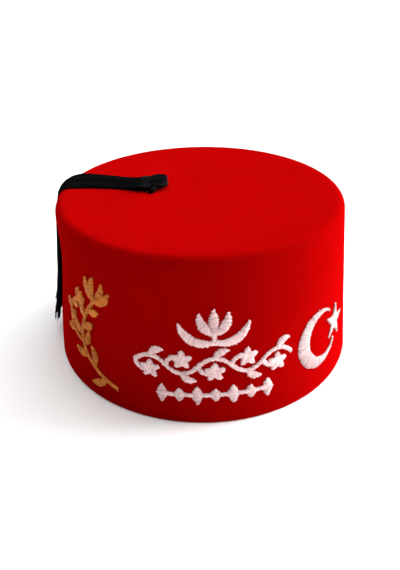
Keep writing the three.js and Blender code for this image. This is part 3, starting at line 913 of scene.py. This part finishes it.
def bump_node(nodes, links, height, strength, distance, normal=None):
    bump = nodes.new("ShaderNodeBump")
    bump.inputs["Strength"].default_value = strength
    bump.inputs["Distance"].default_value = distance
    links.new(height, bump.inputs["Height"])
    if normal is not None:
        links.new(normal, bump.inputs["Normal"])
    return bump.outputs["Normal"]


def felt_material():
    made, nodes, links, shader = new_material("red_velour_felt")
    nap = noise_node(nodes, links, scale=2600, detail=3)
    brushed = noise_node(nodes, links, scale=60, detail=3, stretch=(1, 1, 0.35))
    cloud = noise_node(nodes, links, scale=22, detail=2)
    grain = blend_node(nodes, links, nap, [(0.3, (0.86, 0.8, 0.8)), (0.7, (1, 1, 1))])
    strokes = blend_node(nodes, links, brushed, [(0.3, (0.93, 0.9, 0.9)), (0.7, (1, 1, 1))])
    reds = [(0.3, (0.3, 0.0004, 0.0005)), (0.7, (0.33, 0.0006, 0.0008))]
    base = blend_node(nodes, links, cloud, reds)
    colour = multiply(nodes, links, multiply(nodes, links, base, strokes), grain)
    links.new(colour, shader.inputs["Base Color"])
    shader.inputs["Roughness"].default_value = 1.0
    shader.inputs["Specular IOR Level"].default_value = 0.0
    shader.inputs["Sheen Weight"].default_value = 0.2
    shader.inputs["Sheen Roughness"].default_value = 0.45
    shader.inputs["Sheen Tint"].default_value = (1.0, 0.004, 0.006, 1)
    soft = bump_node(nodes, links, brushed, strength=0.15, distance=0.0004)
    fine = bump_node(nodes, links, nap, strength=0.35, distance=0.00012, normal=soft)
    links.new(fine, shader.inputs["Normal"])
    return made


def thread_material(name, dark, middle, light, roughness, gloss):
    """Thread whose shade differs from one strand or stitch to the next; only a few are dark."""
    made, nodes, links, shader = new_material(name)
    place = nodes.new("ShaderNodeUVMap")
    place.uv_map = "UVMap"
    parts = nodes.new("ShaderNodeSeparateXYZ")
    links.new(place.outputs["UV"], parts.inputs["Vector"])
    cloud = noise_node(nodes, links, scale=700, detail=2)
    fibre = noise_node(nodes, links, scale=5200, detail=2)
    shades = [(0.0, dark), (0.3, middle), (1.0, light)]
    base = blend_node(nodes, links, parts.outputs["X"], shades)
    shade = blend_node(nodes, links, cloud, [(0.3, (0.87, 0.84, 0.84)), (0.6, (1, 1, 1))])
    links.new(multiply(nodes, links, base, shade), shader.inputs["Base Color"])
    shader.inputs["Roughness"].default_value = roughness
    shader.inputs["Specular IOR Level"].default_value = gloss
    fine = bump_node(nodes, links, fibre, strength=0.4, distance=0.00008)
    links.new(fine, shader.inputs["Normal"])
    return made


# Stage, light and camera; sizes in metres

FLOOR_SIZE = 14
BACKDROP_RADIUS = 6.9
BACKDROP_HEIGHT = 8


def make_floor():
    bpy.ops.mesh.primitive_plane_add(size=FLOOR_SIZE)
    floor = bpy.context.object
    floor.name = "studio_floor"
    made, nodes, links, shader = new_material("pale_floor")
    shader.inputs["Base Color"].default_value = (0.9, 0.9, 0.9, 1)
    shader.inputs["Emission Color"].default_value = (1, 1, 1, 1)
    shader.inputs["Emission Strength"].default_value = 0.06
    shader.inputs["Roughness"].default_value = 0.9
    shader.inputs["Specular IOR Level"].default_value = 0.1
    floor.data.materials.append(made)


def make_backdrop():
    """A white wall far round the floor, which only the camera sees."""
    bpy.ops.mesh.primitive_cylinder_add(
        vertices=96,
        radius=BACKDROP_RADIUS,
        depth=BACKDROP_HEIGHT,
        end_fill_type="NOTHING",
        location=(0, 0, BACKDROP_HEIGHT / 2),
    )
    wall = bpy.context.object
    wall.name = "studio_wall"
    made, nodes, links, shader = new_material("white_wall")
    shader.inputs["Base Color"].default_value = (0, 0, 0, 1)
    shader.inputs["Specular IOR Level"].default_value = 0.0
    shader.inputs["Emission Color"].default_value = (1, 1, 1, 1)
    shader.inputs["Emission Strength"].default_value = 1.0
    wall.data.materials.append(made)
    wall.visible_diffuse = False
    wall.visible_glossy = False
    wall.visible_shadow = False


def make_light(name, turn, elevation, spread, strength):
    """A far, wide, even light; turn, 0 in front, and elevation say where it stands, in degrees."""
    data = bpy.data.lights.new(name, "SUN")
    data.angle = math.radians(spread)
    data.energy = strength
    lamp = bpy.data.objects.new(name, data)
    bpy.context.scene.collection.objects.link(lamp)
    round_it, up = math.radians(turn), math.radians(elevation)
    level = math.cos(up)
    stand = Vector((level * math.sin(round_it), -level * math.cos(round_it), math.sin(up)))
    lamp.rotation_euler = stand.to_track_quat("Z", "Y").to_euler()


LOW_LIGHT_PLACE = (0.165, -0.135, 0.008)
LOW_LIGHT_AIM = (0.05, -0.06, 0.012)


def make_low_light():
    """A small soft light near the floor that brightens the foot of the wall at the right."""
    data = bpy.data.lights.new("low_right", "AREA")
    data.shape = "RECTANGLE"
    data.size = 0.16
    data.size_y = 0.03
    data.energy = 0.12
    lamp = bpy.data.objects.new("low_right", data)
    bpy.context.scene.collection.objects.link(lamp)
    lamp.location = LOW_LIGHT_PLACE
    aim = Vector(LOW_LIGHT_AIM) - lamp.location
    lamp.rotation_euler = aim.to_track_quat("-Z", "Y").to_euler()
    lamp.visible_camera = False


def make_lights():
    make_light("key_right", turn=105, elevation=20, spread=50, strength=6.2)
    make_light("top_soft", turn=135, elevation=74, spread=80, strength=4.0)
    make_low_light()
    world = bpy.data.worlds.new("studio")
    bpy.context.scene.world = world
    world.use_nodes = True
    world.node_tree.nodes["Background"].inputs["Color"].default_value = (1, 1, 1, 1)
    world.node_tree.nodes["Background"].inputs["Strength"].default_value = 0.01


def make_camera():
    azimuth = math.radians(CAMERA_AZIMUTH)
    elevation = math.radians(CAMERA_ELEVATION)
    place = Vector((
        math.cos(elevation) * math.sin(azimuth),
        -math.cos(elevation) * math.cos(azimuth),
        math.sin(elevation),
    )) * CAMERA_DISTANCE + Vector((0, 0, HEIGHT / 2))
    aim_turn = math.radians(CAMERA_AZIMUTH - CAMERA_YAW)
    aim_down = math.radians(CAMERA_ELEVATION + CAMERA_PITCH)
    ahead = Vector((
        -math.sin(aim_turn) * math.cos(aim_down),
        math.cos(aim_turn) * math.cos(aim_down),
        -math.sin(aim_down),
    ))
    level = Vector((math.cos(aim_turn), math.sin(aim_turn), 0))
    above = level.cross(ahead)
    roll = math.radians(CAMERA_ROLL)
    right = level * math.cos(roll) + above * math.sin(roll)
    up = -level * math.sin(roll) + above * math.cos(roll)
    data = bpy.data.cameras.new("photo_camera")
    data.sensor_fit = "VERTICAL"
    data.sensor_height = SENSOR
    data.lens = FOCAL_PX * SENSOR / IMAGE_HEIGHT_PX
    data.clip_start = 0.01
    camera = bpy.data.objects.new("photo_camera", data)
    bpy.context.scene.collection.objects.link(camera)
    turn = Matrix((right, up, -ahead)).transposed().to_4x4()
    camera.matrix_world = Matrix.Translation(place * MM) @ turn
    bpy.context.scene.camera = camera


def keep(piece, slot, node):
    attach(piece, "root")
    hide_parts(node)


bpy.context.scene.view_settings.view_transform = "Standard"
make_floor()
make_backdrop()
make_lights()
make_camera()

felt = felt_material()
silk = thread_material(
    "black_silk",
    dark=(0.0003, 0.0005, 0.0007),
    middle=(0.0008, 0.0012, 0.0016),
    light=(0.014, 0.0145, 0.019),
    roughness=0.42,
    gloss=0.022,
)
gold = thread_material(
    "gold_thread",
    dark=(0.43, 0.105, 0.011),
    middle=(0.64, 0.19, 0.025),
    light=(0.92, 0.3, 0.042),
    roughness=0.5,
    gloss=0.2,
)
# The white threads are tinted pink: partly painted red light thrown back from the felt.
white = thread_material(
    "white_thread",
    dark=(0.72, 0.48, 0.48),
    middle=(1.0, 0.72, 0.72),
    light=(1.0, 0.82, 0.82),
    roughness=0.6,
    gloss=0.12,
)
# A darker copy of the white thread for the crescent and star, on the side where the key light falls
# strongest: painted shade.
white_painted_darker = thread_material(
    "white_thread_painted_darker",
    dark=(0.52, 0.36, 0.36),
    middle=(0.7, 0.53, 0.53),
    light=(0.76, 0.6, 0.6),
    roughness=0.6,
    gloss=0.12,
)

keep(make_crown(felt), "felt", "crown")
keep(make_tassel(silk), "silk", "tassel")
keep(make_binding(silk), "silk", "tassel_binding")
keep(make_gold_spray(gold), "gold_thread", "gold_spray")
keep(make_white_tulip(white), "white_thread", "white_tulip")
keep(make_white_vine(white), "white_thread", "white_vine")
keep(make_white_lozenges(white), "white_thread", "white_lozenges")
keep(make_crescent(white_painted_darker), "white_thread", "crescent")
keep(make_star(white_painted_darker), "white_thread", "star")
